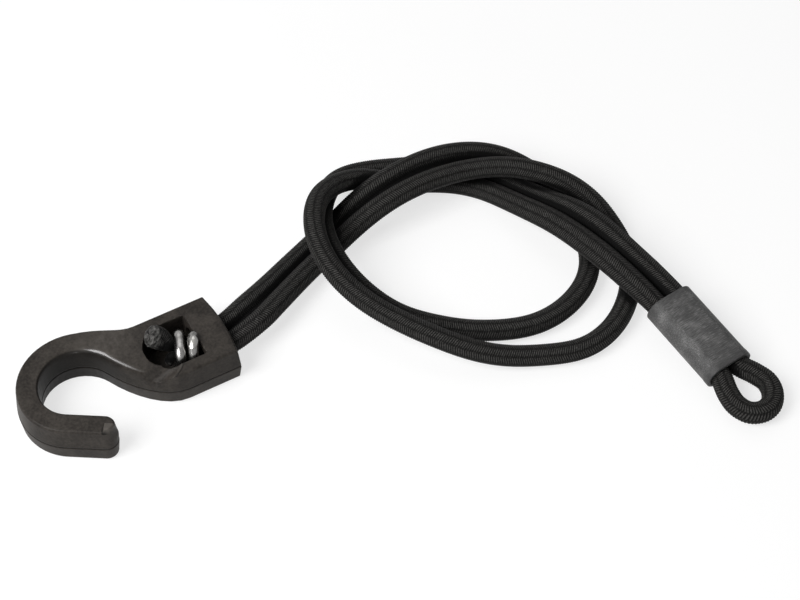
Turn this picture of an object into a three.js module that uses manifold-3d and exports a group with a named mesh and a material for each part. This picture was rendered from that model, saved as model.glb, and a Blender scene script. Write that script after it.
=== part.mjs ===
// Bungee cord: one elastic cord folded in half, tied in a loose overhand knot. Both ends are clipped
// into the housing of a moulded hook, and a sleeve over the fold makes an eye at the far end.
// Millimetres, +Z up. The origin is the middle of the hook's underside, +X runs from bow to cord.
import * as THREE from 'three';
import { mergeVertices } from 'three/addons/utils/BufferGeometryUtils.js';
import Module from 'manifold-3d';

const wasm = await Module();
wasm.setup();

// Clearances
const FIT = 0.25; // cord in slot, sleeve and clip

// Cord
const CORD_RADIUS = 2.85;
const JACKET_WALL = 0.55;
const CORE_GAP = 0.25;
const NECK_RADIUS = 1.15; // where the clip squeezes it
const CORD_SIDES = 8;
const CORD_STEP = 6; // longest step along the cord
const NECK_STEP = 1.5; // and where it is squeezed
const STRAND_GAP = 0.2;
const PAIR_HALF = CORD_RADIUS + STRAND_GAP / 2; // half the spacing of two strands side by side

// Hook: the parting line is the widest outline, and both faces are drawn in from it
const HOOK_LENGTH = 56.2;
const HOOK_THICKNESS = 11.1;
const PARTING = 4.8; // height of the parting line
const DRAFT = 0.45; // from the parting line to the start of the edge rounding
const EDGE_DROP = 0.6; // height of the edge rounding
const EDGE_INSET = 0.5; // how far it draws the face in
const EDGE_BELLY = 0.42; // share of that inset at a third of the height
const BOW_RADIUS = 16.4;
const BOW_SIDE = 0.2; // the bow's middle, off the housing's
const THROAT_RADIUS = 9.6;
const THROAT_SHIFT = -0.4; // the throat's middle, off the bow's
const TIP_TUCK = 2.1; // how much tighter the bow closes toward the tip
const TIP_TURN = THREE.MathUtils.degToRad(57.3); // bow past its far left, up to the tip arm
const TIP_ARM = 9.3; // straight stretch of the arm
const SHOULDER_TURN = THREE.MathUtils.degToRad(14); // where the shoulder leaves the bow
const SHOULDER_REACH = 7.4; // where the far edge turns straight
const SHOULDER_LEAVE = 0.57; // share of the way along before the shoulder turns down
const SHOULDER_MEET = 0.3; // and from its foot back to where it turns straight
const NECK_TURN = THREE.MathUtils.degToRad(24.5); // where the throat leaves the round
const NECK_DROP = 0.52; // share of the way down before the neck turns
const NECK_REACH = 12.7; // where the near edge turns straight
const NECK_RUN = 0.4; // share of the way along before the near edge turns up
const HOUSING_HALF = 10.5;
const END_CROWN = 0.9; // bulge of the cord end's face

// Window pocket, open on top, and the slot through its end wall
const POCKET_START = 5.9;
const POCKET_HALF = 6.8;
const END_WALL = 8.4;
const POCKET_FLOOR = 1.6;
const SLOT_RADIUS = CORD_RADIUS + FIT;
const SLOT_HEIGHT = 5.5;

// Scoop: a round groove that rises along the housing, from the near wall up to the window's corner
const SCOOP_RADIUS = 2.55;
const SCOOP_RISE = THREE.MathUtils.degToRad(21.7);
const SCOOP_MIDDLE = [6, -7.5, 11.15];

// Wire clip: a flattened coil round both strands, its last end left standing at a slant
const WIRE_RADIUS = 1.4;
const CLIP_PITCH = 3.3;
const CLIP_START = -0.35; // turns before the top of the first turn
const CLIP_LEAN = THREE.MathUtils.degToRad(48); // slope of the standing end
const CLIP_END = 4.4; // its length
const CLIP_YAW = THREE.MathUtils.degToRad(-13);
const CLIP_BACK = 4.6; // the top of the first turn, from the pocket's end wall
const CLIP_SIDE = -0.5; // off the housing's middle
const CLIP_HEIGHT = 7.8;
const CLIP_EXIT = 2.5; // where the squeezed strands leave it
const NECK_HALF = NECK_RADIUS + STRAND_GAP; // half the spacing of the squeezed strands
const CLIP_BEND = NECK_RADIUS + FIT + WIRE_RADIUS;

// Sleeve on the fold
const SLEEVE_LENGTH = 24.6;
const SLEEVE_WALL = 0.85;
const SLEEVE_START = new THREE.Vector3(130.6, -47.5, 7.2);
const SLEEVE_YAW = THREE.MathUtils.degToRad(-83.8);
const SLEEVE_DIP = THREE.MathUtils.degToRad(6.4);

// Cord route, hook to sleeve: the far strand, then the near one, each over and under the other as tied
const FAR_STRAND = [
  [37, 6, 5], [45, 9.6, 3.8], [54, 14, 3], [62.5, 17.6, 3], [71, 20.8, 3.4], [77.8, 21.6, 7.2],
  [84.4, 21.6, 10.4], [92, 22.2, 11.3], [101, 22.4, 11], [109.4, 20.9, 10.2], [117, 17.4, 8.8],
  [122.8, 12.6, 6.2], [126.6, 7.6, 3.4], [128, 0, 3], [127.4, -8.5, 3], [125.3, -18.3, 3],
  [119.7, -27.5, 3], [110, -33.2, 3], [98.8, -34.4, 3], [85, -28.7, 3], [76, -21.2, 3],
  [69.6, -14.2, 3.8], [64.4, -4.4, 7], [62.4, 5, 10.4], [64.8, 16.4, 9.9], [70, 25.6, 7.5],
  [77.5, 32.6, 5], [86, 33.3, 3.1], [96.7, 29, 3], [107.8, 24.2, 3], [114, 17.4, 3], [118.2, 11, 3],
  [121.4, 2, 4.6], [123, -4, 6.8], [125.4, -10.8, 9.2], [128.2, -19.8, 10.2], [129.8, -28.8, 9.8],
  [132, -37.8, 8.4],
];
const NEAR_STRAND = [
  [37.7, -0.9, 6.4], [44, 2.3, 5.8], [51.5, 6.3, 5], [59, 9.8, 4.6], [66.6, 12.8, 4.6], [73, 14.4, 6.4],
  [79.4, 14.8, 9.2], [86.2, 15.2, 10.8], [93, 15.6, 11], [101, 15.6, 10.4], [110.4, 13.8, 10],
  [118.8, 8.7, 10.8], [124.4, 3.7, 10.2], [128.7, -1.3, 9.2], [132.3, -8.8, 7.2], [133.5, -16.2, 4.6],
  [133, -24, 3], [129.6, -32.5, 3], [123.8, -39.6, 3], [116, -45, 3], [105.9, -47.1, 3],
  [94.8, -43.3, 3], [86.3, -39.5, 4], [79.8, -35.1, 5.6], [73.6, -28.8, 7.4], [67.6, -20.6, 8.6],
  [62, -11, 10.4], [58.6, -2, 13.6], [58.8, 7.6, 15.8], [62, 15.8, 16], [67.2, 22.2, 14.8],
  [75, 26.2, 11.6], [83.8, 27.4, 7.3], [90, 24.8, 4.8], [96.6, 22.4, 3.2], [103.4, 19, 3],
  [110.2, 12.4, 3.4], [115.4, -0.4, 6], [119.1, -12, 8.6], [121.2, -22.8, 10], [123, -31, 10.2],
  [124.8, -38.4, 9.4],
];
// The eye, from the far strand round to the near one
const EYE = [
  [138.4, -75.3, 4], [139.8, -78.7, 3.6], [139.3, -82, 3.3], [137.2, -84.7, 3], [134.1, -85.6, 3],
  [131, -84.3, 3], [129.3, -81, 3.2], [129.3, -77, 3.7],
];
// Melted ends of the cord from the clip outward, each place with the radius: the far one stands out of
// the window at its full size, the near one stays low in the pocket
const FAR_TAIL = [[12.3, 1.9, 10.1, 2.05], [11.3, 2.6, 11.2, 2.85], [9.8, 3.3, 13.2, 2.85]];
const NEAR_TAIL = [[10.2, -1, 6.6, 2], [8.8, -1.4, 6, 2.2]];

const housingEnd = HOOK_LENGTH / 2;
const pocketEnd = housingEnd - END_WALL;
const bowX = BOW_RADIUS - HOOK_LENGTH / 2;
const throatX = bowX + THROAT_SHIFT;
const tipAngle = Math.PI + TIP_TURN;

/** A closed mesh as a solid that can be cut. */
function toSolid(geometry) {
  const bare = geometry.clone();
  bare.deleteAttribute('normal');
  bare.deleteAttribute('uv');
  const merged = mergeVertices(bare, 1e-4);
  const triVerts = new Uint32Array(merged.index.array);
  const vertProperties = new Float32Array(merged.attributes.position.array);
  return new wasm.Manifold(new wasm.Mesh({ numProp: 3, vertProperties, triVerts }));
}

/** The mesh of a cut solid. */
function toGeometry(solid) {
  const { vertProperties, triVerts } = solid.getMesh();
  const geometry = new THREE.BufferGeometry();
  geometry.setAttribute('position', new THREE.BufferAttribute(vertProperties, 3));
  geometry.setIndex(new THREE.BufferAttribute(triVerts, 1));
  return geometry;
}

/** Rings of equal count joined in order by quads; the last ring joins the first, or both are capped. */
function loft(rings, closed, cap) {
  const sides = rings[0].length;
  const positions = rings.flat().flatMap((p) => [p.x, p.y, p.z]);
  const index = [];
  const last = closed ? rings.length : rings.length - 1;
  for (let i = 0; i < last; i += 1) {
    const next = (i + 1) % rings.length;
    for (let k = 0; k < sides; k += 1) {
      const a = i * sides + k;
      const b = i * sides + ((k + 1) % sides);
      const c = next * sides + k;
      const d = next * sides + ((k + 1) % sides);
      index.push(a, b, d, a, d, c);
    }
  }
  const top = (rings.length - 1) * sides;
  for (const [a, b, c] of cap) {
    index.push(a, c, b, top + a, top + b, top + c);
  }
  const geometry = new THREE.BufferGeometry();
  geometry.setAttribute('position', new THREE.Float32BufferAttribute(positions, 3));
  geometry.setIndex(index);
  return geometry;
}

/** The hook's outline, drawn in all round by inset, counter-clockwise from above. */
function hookOutline(inset) {
  const outer = BOW_RADIUS - inset;
  const inner = THROAT_RADIUS + inset;
  const half = HOUSING_HALF - inset;
  const end = housingEnd - inset;
  const shape = new THREE.Path();

  // Cord end, crowned, then the far edge with a swept shoulder up to the bow
  const corner = end - END_CROWN;
  shape.moveTo(corner, -half);
  shape.quadraticCurveTo(end + END_CROWN, 0, corner, half);
  const leaveX = bowX + outer * Math.sin(SHOULDER_TURN);
  const leaveY = BOW_SIDE + outer * Math.cos(SHOULDER_TURN);
  const sweep = SHOULDER_REACH - leaveX;
  shape.lineTo(SHOULDER_REACH, half);
  shape.bezierCurveTo(SHOULDER_REACH - sweep * SHOULDER_MEET, half,
    leaveX + sweep * SHOULDER_LEAVE, leaveY - sweep * SHOULDER_LEAVE * Math.tan(SHOULDER_TURN),
    leaveX, leaveY);

  // Round the bow, closing a little tighter toward the tip, and along the arm to its round end
  shape.absarc(bowX, BOW_SIDE, outer, Math.PI / 2 - SHOULDER_TURN, Math.PI, false);
  shape.absarc(bowX - TIP_TUCK, BOW_SIDE, outer - TIP_TUCK, Math.PI, tipAngle, false);
  const out = new THREE.Vector2(Math.cos(tipAngle), Math.sin(tipAngle));
  const arm = new THREE.Vector2(-out.y, out.x);
  const band = BOW_RADIUS - THROAT_RADIUS - THROAT_SHIFT * out.x;
  const cap = new THREE.Vector2(bowX - TIP_TUCK, BOW_SIDE)
    .addScaledVector(out, BOW_RADIUS - TIP_TUCK - band / 2)
    .addScaledVector(arm, TIP_ARM);
  shape.absarc(cap.x, cap.y, band / 2 - inset, tipAngle, tipAngle + Math.PI, false);

  // Back round the throat, and down the neck to the near edge
  shape.absarc(throatX - TIP_TUCK, BOW_SIDE, inner - TIP_TUCK, tipAngle, Math.PI, true);
  shape.absarc(throatX, BOW_SIDE, inner, Math.PI, NECK_TURN, true);
  const neckX = throatX + inner * Math.cos(NECK_TURN);
  const neckY = BOW_SIDE + inner * Math.sin(NECK_TURN);
  const drop = (neckY + half) * NECK_DROP;
  const run = (NECK_REACH - neckX) * NECK_RUN;
  shape.bezierCurveTo(neckX + drop * Math.sin(NECK_TURN), neckY - drop * Math.cos(NECK_TURN),
    NECK_REACH - run, -half, NECK_REACH, -half);

  const points = shape.getPoints(8);
  return points.filter((p, i) => i === 0 || p.distanceTo(points[i - 1]) > 1e-3);
}

/** Hook body: the outline lofted from face to face through the parting line. */
function hookBlank() {
  const levels = [
    [0, DRAFT + EDGE_INSET],
    [EDGE_DROP / 3, DRAFT + EDGE_INSET * EDGE_BELLY],
    [EDGE_DROP, DRAFT],
    [PARTING, 0],
    [HOOK_THICKNESS - EDGE_DROP, DRAFT],
    [HOOK_THICKNESS - EDGE_DROP / 3, DRAFT + EDGE_INSET * EDGE_BELLY],
    [HOOK_THICKNESS, DRAFT + EDGE_INSET],
  ];
  const rings = levels.map(([z, inset]) =>
    hookOutline(inset).map((p) => new THREE.Vector3(p.x, p.y, z)));
  const face = THREE.ShapeUtils.triangulateShape(hookOutline(DRAFT + EDGE_INSET), []);
  return loft(rings, false, face);
}

/** Round-ended shape, its straight sides 2 * half long along Y. */
function racetrack(half, radius, Kind = THREE.Shape) {
  const shape = new Kind();
  shape.moveTo(radius, -half);
  shape.lineTo(radius, half);
  shape.absarc(0, half, radius, 0, Math.PI, false);
  shape.lineTo(-radius, -half);
  shape.absarc(0, -half, radius, Math.PI, 2 * Math.PI, false);
  return shape;
}

/** What is cut from the hook for the window: square at the cord end, round at the bow end. */
function pocketCut() {
  const roundX = POCKET_START + POCKET_HALF;
  const shape = new THREE.Shape();
  shape.moveTo(pocketEnd, -POCKET_HALF);
  shape.lineTo(pocketEnd, POCKET_HALF);
  shape.lineTo(roundX, POCKET_HALF);
  shape.absarc(roundX, 0, POCKET_HALF, Math.PI / 2, 1.5 * Math.PI, false);
  const cut = new THREE.ExtrudeGeometry(shape,
    { depth: HOOK_THICKNESS, bevelEnabled: false, curveSegments: 12 });
  return cut.translate(0, 0, POCKET_FLOOR);
}

/** What is cut for the two strands through the end wall. */
function slotCut() {
  const cut = new THREE.ExtrudeGeometry(racetrack(PAIR_HALF, SLOT_RADIUS),
    { depth: 2 * END_WALL, bevelEnabled: false, curveSegments: 8 });
  cut.rotateY(Math.PI / 2);
  return cut.translate(pocketEnd - END_WALL / 2, 0, SLOT_HEIGHT);
}

/** What is cut for the scoop: a round rod along the groove. */
function scoopCut() {
  const rod = new THREE.CylinderGeometry(SCOOP_RADIUS, SCOOP_RADIUS, 2 * HOOK_THICKNESS, 24);
  rod.rotateZ(Math.PI / 2);
  rod.rotateY(-SCOOP_RISE);
  return rod.translate(...SCOOP_MIDDLE);
}

const clipLap = 4 * NECK_HALF + 2 * Math.PI * CLIP_BEND;
const clipLeave = 3 * NECK_HALF + CLIP_BEND * (2 * Math.PI - CLIP_LEAN);

/** Centreline of the clip: a flattened helix about X, leaving its near bend straight at a slant. */
class ClipCurve extends THREE.Curve {
  getPoint(t, target = new THREE.Vector3()) {
    const start = CLIP_START * clipLap;
    const run = start + t * (clipLeave + CLIP_END - start);
    const way = run < 0 ? run + clipLap : Math.min(run, clipLeave);
    const past = Math.max(run - clipLeave, 0);
    const x = (run / clipLap) * CLIP_PITCH;
    const bend = Math.PI * CLIP_BEND;
    if (way < NECK_HALF) {
      return target.set(x, way, CLIP_BEND);
    }
    if (way < NECK_HALF + bend) {
      const a = (way - NECK_HALF) / CLIP_BEND;
      return target.set(x, NECK_HALF + CLIP_BEND * Math.sin(a), CLIP_BEND * Math.cos(a));
    }
    if (way < 3 * NECK_HALF + bend) {
      return target.set(x, 2 * NECK_HALF + bend - way, -CLIP_BEND);
    }
    if (way < 3 * NECK_HALF + 2 * bend) {
      const a = (way - 3 * NECK_HALF - bend) / CLIP_BEND;
      return target.set(x, -NECK_HALF - CLIP_BEND * Math.sin(a) + past * Math.cos(CLIP_LEAN),
        -CLIP_BEND * Math.cos(a) + past * Math.sin(CLIP_LEAN));
    }
    return target.set(x, way - clipLap, CLIP_BEND);
  }
}

const clipX = pocketEnd - CLIP_BACK;

/** Clip geometry: round wire along the flattened helix. */
function clipGeometry() {
  const wire = new THREE.Shape();
  wire.absarc(0, 0, WIRE_RADIUS, 0, 2 * Math.PI, false);
  return new THREE.ExtrudeGeometry(wire,
    { steps: 44, curveSegments: 4, bevelEnabled: false, extrudePath: new ClipCurve() });
}

/** A place in the clip's bore: along its axis and to one side. */
function clipPoint(along, across) {
  return new THREE.Vector3(along, across, 0)
    .applyAxisAngle(new THREE.Vector3(0, 0, 1), CLIP_YAW)
    .add(new THREE.Vector3(clipX, CLIP_SIDE, CLIP_HEIGHT));
}

/** A place in the sleeve: along its axis and to one side. */
function sleevePoint(along, across) {
  return new THREE.Vector3(along, across, 0)
    .applyEuler(new THREE.Euler(0, SLEEVE_DIP, SLEEVE_YAW, 'ZYX'))
    .add(SLEEVE_START);
}

/** Stretch from a melted end through the clip and the slot, as points with the cord's radius there. */
function hookStretch(tail, side, back) {
  const free = [...tail].reverse().map(([x, y, z, radius]) => [new THREE.Vector3(x, y, z), radius]);
  return [
    ...free,
    [clipPoint(back, side * NECK_HALF), NECK_RADIUS],
    [clipPoint(0, side * NECK_HALF), NECK_RADIUS],
    [clipPoint(CLIP_EXIT, side * NECK_HALF), NECK_RADIUS],
    [new THREE.Vector3(pocketEnd, side * (NECK_HALF + PAIR_HALF) / 2, (CLIP_HEIGHT + SLOT_HEIGHT) / 2),
      NECK_RADIUS],
    [new THREE.Vector3(pocketEnd + END_WALL / 2, side * PAIR_HALF, SLOT_HEIGHT), CORD_RADIUS],
    [new THREE.Vector3(housingEnd, side * PAIR_HALF, SLOT_HEIGHT), CORD_RADIUS],
  ];
}

/** The whole cord in one piece, from one melted end to the other. */
function cordRoute() {
  const plain = (list) => list.map((p) => [new THREE.Vector3(...p), CORD_RADIUS]);
  const inSleeve = (side) => [0, 0.4, 0.8, 1].map((share) =>
    [sleevePoint(share * SLEEVE_LENGTH, side * PAIR_HALF), CORD_RADIUS]);
  return [
    ...hookStretch(FAR_TAIL, 1, -WIRE_RADIUS),
    ...plain(FAR_STRAND),
    ...inSleeve(1),
    ...plain(EYE),
    ...inSleeve(-1).reverse(),
    ...plain(NEAR_STRAND).reverse(),
    ...hookStretch(NEAR_TAIL, -1, CLIP_START * CLIP_PITCH - WIRE_RADIUS).reverse(),
  ];
}

/** Stations along the cord: place, radius and a cross-section frame carried on without twist. */
function cordStations() {
  const route = cordRoute();
  const curve = new THREE.CatmullRomCurve3(route.map(([p]) => p));
  const spans = route.length - 1;
  const stations = [];
  for (let i = 0; i < spans; i += 1) {
    const longest = route[i][1] + route[i + 1][1] < 2 * CORD_RADIUS ? NECK_STEP : CORD_STEP;
    const steps = Math.ceil(route[i][0].distanceTo(route[i + 1][0]) / longest);
    for (let k = 0; k < steps; k += 1) {
      const share = k / steps;
      const t = (i + share) / spans;
      const radius = THREE.MathUtils.lerp(route[i][1], route[i + 1][1], share);
      stations.push({ place: curve.getPoint(t), way: curve.getTangent(t), radius });
    }
  }
  stations.push({ place: curve.getPoint(1), way: curve.getTangent(1), radius: route[spans][1] });
  let across = new THREE.Vector3(0, 1, 0);
  for (const station of stations) {
    across = across.clone().projectOnPlane(station.way).normalize();
    station.across = across;
    station.up = station.way.clone().cross(across);
  }
  return stations;
}

/** Rings of the cord's cross-section at each station; thickness gives the radius from the cord's. */
function cordRings(stations, thickness) {
  return stations.map(({ place, across, up, radius }) => {
    const size = thickness(radius);
    return Array.from({ length: CORD_SIDES }, (_, k) => {
      const angle = ((k + 0.5) / CORD_SIDES) * 2 * Math.PI;
      return place.clone()
        .addScaledVector(across, size * Math.cos(angle))
        .addScaledVector(up, size * Math.sin(angle));
    });
  });
}

const boreRadius = (radius) => radius * (1 - JACKET_WALL / CORD_RADIUS);
const coreRadius = (radius) => boreRadius(radius) - CORE_GAP;

/** Jacket: out along the outside and back along the bore, open at both ends. */
function jacketGeometry(stations) {
  const outside = cordRings(stations, (radius) => radius);
  const bore = cordRings(stations, boreRadius);
  return loft([...outside, ...bore.reverse()], true, []);
}

/** Core: the rubber strands as one bundle. */
function coreGeometry(stations) {
  const rings = cordRings(stations, coreRadius);
  const cap = Array.from({ length: CORD_SIDES - 2 }, (_, k) => [0, k + 1, k + 2]);
  return loft(rings, false, cap);
}

/** Sleeve: a flattened tube that fits the two strands side by side, along X. */
function sleeveGeometry() {
  const bore = CORD_RADIUS + FIT;
  const section = racetrack(PAIR_HALF, bore + SLEEVE_WALL);
  section.holes.push(racetrack(PAIR_HALF, bore, THREE.Path));
  const tube = new THREE.ExtrudeGeometry(section,
    { depth: SLEEVE_LENGTH, bevelEnabled: false, curveSegments: 10 });
  return tube.rotateY(Math.PI / 2);
}

/** A named mesh with its own plain material. */
function piece(name, geometry, color, roughness, metalness) {
  const mesh = new THREE.Mesh(geometry, new THREE.MeshStandardMaterial({ color, roughness, metalness }));
  mesh.name = name;
  return mesh;
}

const hookSolid = toSolid(hookBlank())
  .subtract(toSolid(pocketCut()))
  .subtract(toSolid(slotCut()))
  .subtract(toSolid(scoopCut()));
const hook = piece('hook', toGeometry(hookSolid), 0x2a2a2c, 0.6, 0);

const clip = piece('wire_clip', clipGeometry(), 0x9a9a98, 0.35, 1);
clip.position.set(clipX, CLIP_SIDE, CLIP_HEIGHT);
clip.rotation.z = CLIP_YAW;

const stations = cordStations();
const jacket = piece('cord_jacket', jacketGeometry(stations), 0x161617, 0.85, 0);
const core = piece('cord_core', coreGeometry(stations), 0xd8d2c4, 0.7, 0);

const sleeve = piece('sleeve', sleeveGeometry(), 0x6e6e70, 0.6, 0);
sleeve.position.copy(SLEEVE_START);
sleeve.rotation.set(0, SLEEVE_DIP, SLEEVE_YAW, 'ZYX');

const bungeeCord = new THREE.Group();
bungeeCord.add(hook, clip, jacket, core, sleeve);

export default bungeeCord;
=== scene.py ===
"""Bungee cord with a moulded hook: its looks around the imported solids.

Places are in metres, in the part's own frame.
"""

import bpy
import numpy as np
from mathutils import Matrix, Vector


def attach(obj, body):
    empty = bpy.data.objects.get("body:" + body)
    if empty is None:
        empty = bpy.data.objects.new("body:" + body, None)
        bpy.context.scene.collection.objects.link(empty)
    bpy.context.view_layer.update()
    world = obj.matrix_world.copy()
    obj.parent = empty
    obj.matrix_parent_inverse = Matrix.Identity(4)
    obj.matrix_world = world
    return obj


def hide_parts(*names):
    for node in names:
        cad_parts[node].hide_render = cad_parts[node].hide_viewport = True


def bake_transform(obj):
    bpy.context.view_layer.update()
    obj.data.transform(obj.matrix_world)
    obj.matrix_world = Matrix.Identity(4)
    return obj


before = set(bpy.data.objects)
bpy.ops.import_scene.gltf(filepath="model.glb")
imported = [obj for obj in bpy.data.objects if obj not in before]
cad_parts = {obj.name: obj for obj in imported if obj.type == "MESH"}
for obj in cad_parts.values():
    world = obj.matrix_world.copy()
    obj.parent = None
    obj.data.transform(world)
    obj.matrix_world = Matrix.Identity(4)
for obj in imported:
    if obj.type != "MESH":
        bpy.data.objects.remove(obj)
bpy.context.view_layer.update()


# Hook: one charcoal plastic moulding, an open bow on a flat housing with a window in its top.
# It is injection moulded between two halves of a tool, which leaves soft edges, a fine witness line
# round its sides where the halves met, and a nub on the tip where the plastic came in.
MM = 0.001
HOOK_WELD = 1e-6
HOOK_CELL = 0.15 * MM
HOOK_RELAX = 4
RELAX_SHARE = 0.5
HOOK_KEPT = 0.36
UPPER_FACE = 0.2
LINE_STEPS = 60
PARTING = 4.8 * MM
LINE_DEPTH = 0.22 * MM
LINE_HALF = 0.17 * MM
UPPER_STEP = 0.05 * MM
WINDOW_LOW = MM * np.array([5.3, -7.3])
WINDOW_HIGH = MM * np.array([20.2, 7.3])
SLOT_HALF = 6.5 * MM
NUB_PLACE = MM * np.array([-11.2, -15.9])
NUB_TURN = np.radians(-32.7)
NUB_HALF = 1.1 * MM
NUB_RISE = 1.3 * MM
NUB_TILT = 0.3
NUB_EDGE = 3 * HOOK_CELL
STUB_PLACE = MM * np.array([-9, -16, 7.6])
STUB_RADIUS = 1.4 * MM
STUB_RISE = 0.4 * MM
THROAT_EDGE = MM * np.array([
    (-17, 9.5), (-12.1, 10.7), (-8.5, 10.1), (-5.3, 8.3), (-2.5, 4.6), (0.5, -0.8), (2.8, -3.8)])
THROAT_SOFT = np.array([0.1, 0.35, 0.8, 1, 1, 0.7, 0.2])
THROAT_GLOSS = np.array([0, 0, 0.1, 1, 1, 0.5, 0])
THROAT_REACH = 4.6 * MM
THROAT_ROUNDS = 260
THROAT_PULL = 0.9
POLISH_STEEP = (0.2, 0.5)
POLISH_LEVEL = (0.9, 0.98)
# Along the scoop's edge lies a painted shadow, with a painted highlight on its lip beside it.
SCOOP_EDGE = MM * np.array([
    (3.1, -7.6), (5.5, -9.4), (7.2, -9.9), (8.7, -9.7), (10.3, -9.2), (11.9, -8), (13.4, -6.5)])
SCOOP_LIP = MM * np.array([0, 0.35])
SCOOP_LINE = 0.5 * MM
# A painted sheen on the upper faces round the shoulder.
SHEEN_PLACE = MM * np.array([-0.5, 9])
SHEEN_REACH = 8 * MM
SHEEN_LEVEL = (0.6, 0.9)
BOW_MIDDLE = MM * np.array([-12.5, 0.5])
BOW_REACH = 13 * MM
BOW_FADE = 0.75 * BOW_REACH
BOW_FACING = (0.3, 0.8)
EDGE_ROUNDS = 6
EDGE_LEAST = 0.012 * MM
EDGE_MOST = 0.05 * MM
EDGE_CLEAR = 4 * LINE_HALF
# The darkest colour also paints the shade inside the bow, along the scoop's edge and beside the nub; the
# palest also paints the sheen round the shoulder and highlights on the scoop's lip, the nub and the
# edges.
PLASTIC_SOOT_AND_SHADE = (0.006, 0.0054, 0.0048, 1)
PLASTIC_DARK = (0.0185, 0.0158, 0.0137, 1)
PLASTIC_GREY = (0.050, 0.0436, 0.0378, 1)
PLASTIC_WORN_AND_SHEEN = (0.115, 0.104, 0.093, 1)
CLOUD_SCALE = 200
CLOUD_SHARE = 0.55
MOTTLE_SCALE = 1500
MOTTLE_DEPTH = 0.03 * MM
# Patches of wear and of painted sheen.
WEAR_AND_SHEEN_SCALE = 900
WEAR_AND_SHEEN_STRETCH = (1, 0.5, 1)
SPOT_SCALE = 130
# How dark the painted shade inside the bow is.
THROAT_SHADE = 0.75
# How much darker the sharp edges are.
EDGE_DARKENING = 0.5
# How pale the nub's top is, partly a painted highlight.
NUB_PALE = 0.85
PLASTIC_ROUGH = 0.36
MOTTLE_ROUGH = 0.24


def link(data, name):
    """A scene object for a mesh, a lamp or a camera."""
    made = bpy.data.objects.new(name, data)
    bpy.context.collection.objects.link(made)
    return made


def settle(piece):
    """A piece's modifiers worked into its mesh, which is given back."""
    depsgraph = bpy.context.evaluated_depsgraph_get()
    mesh = bpy.data.meshes.new_from_object(piece.evaluated_get(depsgraph))
    piece.modifiers.clear()
    piece.data = mesh
    return mesh


def points_of(mesh):
    """A mesh's points and their normals, a row each."""
    points = np.empty(3 * len(mesh.vertices), np.float32)
    normals = np.empty_like(points)
    mesh.vertices.foreach_get("co", points)
    mesh.vertex_normals.foreach_get("vector", normals)
    return points.reshape(-1, 3), normals.reshape(-1, 3)


def ease(value, low, high):
    """0 up to low and 1 from high on, with a smooth rise between."""
    share = np.clip((value - low) / (high - low), 0, 1)
    return share * share * (3 - 2 * share)


def softened(mesh, points, share, rounds):
    """Points drawn toward the mean of their neighbours by their own share, round after round."""
    edges = np.empty(2 * len(mesh.edges), np.int32)
    mesh.edges.foreach_get("vertices", edges)
    here, there = edges.reshape(-1, 2).T
    count = np.bincount(edges, minlength=len(points))
    points = points.astype(float)
    for _ in range(rounds):
        mean = [(np.bincount(here, axis[there], len(count)) + np.bincount(there, axis[here], len(count)))
                / count for axis in points.T]
        points += share[:, None] * (np.stack(mean, axis=-1) - points)
    return points


def beside(points, edge):
    """For each point, the nearest place on a line seen from above, counted in its corners, and how far
    off it is."""
    along = np.linspace(0, len(edge) - 1, LINE_STEPS)
    path = np.stack([np.interp(along, np.arange(len(edge)), edge[:, k]) for k in range(2)], axis=-1)
    away = np.linalg.norm(points[:, None, :2].astype(np.float32) - path.astype(np.float32), axis=-1)
    return along[away.argmin(axis=1)], away.min(axis=1)


def throat_shares(points):
    """How much each point of the hook is softened and polished: as the nearest place on the throat's
    upper edge is, fading out with the distance from it."""
    place, away = beside(points, THROAT_EDGE)
    near = 1 - ease(away, THROAT_REACH / 2, THROAT_REACH)
    near = near * ease(points[:, 2], PARTING, PARTING + THROAT_REACH)
    steps = np.arange(len(THROAT_EDGE))
    return [near * np.interp(place, steps, strength) for strength in (THROAT_SOFT, THROAT_GLOSS)]


def top_line(points, normals, edge):
    """1 on the hook's upper face along a line seen from above, fading out beside it."""
    fade = 1 - ease(beside(points, edge)[1], SCOOP_LINE / 3, SCOOP_LINE)
    return fade * (points[:, 2] > PARTING) * (normals[:, 2] > UPPER_FACE)


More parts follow.
